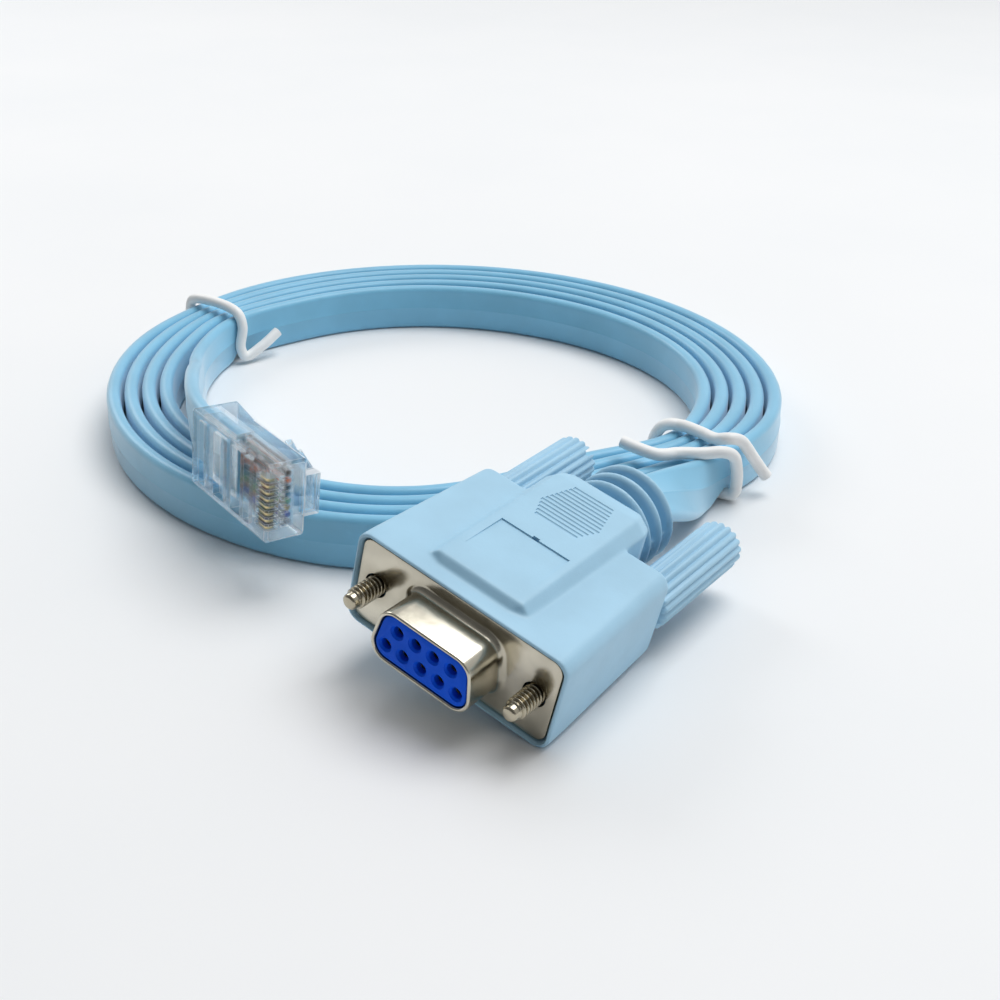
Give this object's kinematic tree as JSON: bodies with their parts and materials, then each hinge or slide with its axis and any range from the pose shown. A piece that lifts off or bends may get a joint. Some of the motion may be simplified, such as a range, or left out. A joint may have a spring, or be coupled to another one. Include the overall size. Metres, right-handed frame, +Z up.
{
  "type": "rj45 to serial console cable",
  "caption": "Flat console cable wound into an oval coil under twist ties, with a moulded D connector with thumbscrews at one end and a clear latching modular plug at the other.",
  "frame": {"origin": "on the floor under the middle of the moulded connector, measured without the cable and its plug", "axes": "+Z up; the connector mates towards -Y and its axis lies along Y; the coil is behind it, towards +Y and -X"},
  "size_m": [0.1332, 0.1266, 0.0219],
  "materials": {
    "hood_plastic": "satin",
    "cable_jacket": "satin",
    "shell_nickel": "bright nickel",
    "screw_steel": "bright",
    "insulator_plastic": "satin",
    "gold_plate": "bright",
    "tie_plastic": "satin",
    "clear_plastic": "clear polycarbonate",
    "brown_wire": "satin",
    "orange_wire": "satin",
    "black_wire": "satin",
    "teal_wire": "satin",
    "green_wire": "satin",
    "ochre_wire": "satin",
    "blue_wire": "satin",
    "grey_wire": "satin"
  },
  "bodies": {
    "cable": {"moulded_hood": "hood_plastic", "connector_shell": "shell_nickel", "connector_insulator": "insulator_plastic", "cable_coil": "cable_jacket", "cable_lead": "cable_jacket", "cable_tail": "cable_jacket", "twist_tie_right": "tie_plastic", "twist_tie_left": "tie_plastic", "plug_body": "clear_plastic", "socket_contact_1": "gold_plate", "socket_contact_2": "gold_plate", "socket_contact_3": "gold_plate", "socket_contact_4": "gold_plate", "socket_contact_5": "gold_plate", "socket_contact_6": "gold_plate", "socket_contact_7": "gold_plate", "socket_contact_8": "gold_plate", "socket_contact_9": "gold_plate", "plug_contact_1": "gold_plate", "plug_contact_2": "gold_plate", "plug_contact_3": "gold_plate", "plug_contact_4": "gold_plate", "plug_contact_5": "gold_plate", "plug_contact_6": "gold_plate", "plug_contact_7": "gold_plate", "plug_contact_8": "gold_plate", "plug_conductor_1": "brown_wire", "plug_conductor_2": "orange_wire", "plug_conductor_3": "black_wire", "plug_conductor_4": "teal_wire", "plug_conductor_5": "green_wire", "plug_conductor_6": "ochre_wire", "plug_conductor_7": "blue_wire", "plug_conductor_8": "grey_wire"},
    "left_thumbscrew": {"jackscrew_left": "screw_steel", "thumb_knob_left": "hood_plastic"},
    "right_thumbscrew": {"jackscrew_right": "screw_steel", "thumb_knob_right": "hood_plastic"},
    "latch": {"plug_latch": "clear_plastic"}
  },
  "joints": [
    {"name": "left_screw_turn", "type": "hinge", "parent": "cable", "child": "left_thumbscrew", "pos_m": [-0.01214, 0, 0.01322], "axis": [0, 1, 0], "continuous": true},
    {"name": "right_screw_turn", "type": "hinge", "parent": "cable", "child": "right_thumbscrew", "pos_m": [0.01214, 0, 0.00729], "axis": [0, 1, 0], "continuous": true},
    {"name": "latch_press", "type": "hinge", "parent": "cable", "child": "latch", "pos_m": [-0.03442, -0.00757, 0.01476], "axis": [0.0567, 0.0946, 0.9939], "range_deg": [0, 14], "stiffness_Nm_per_rad": 0.02}
  ]
}
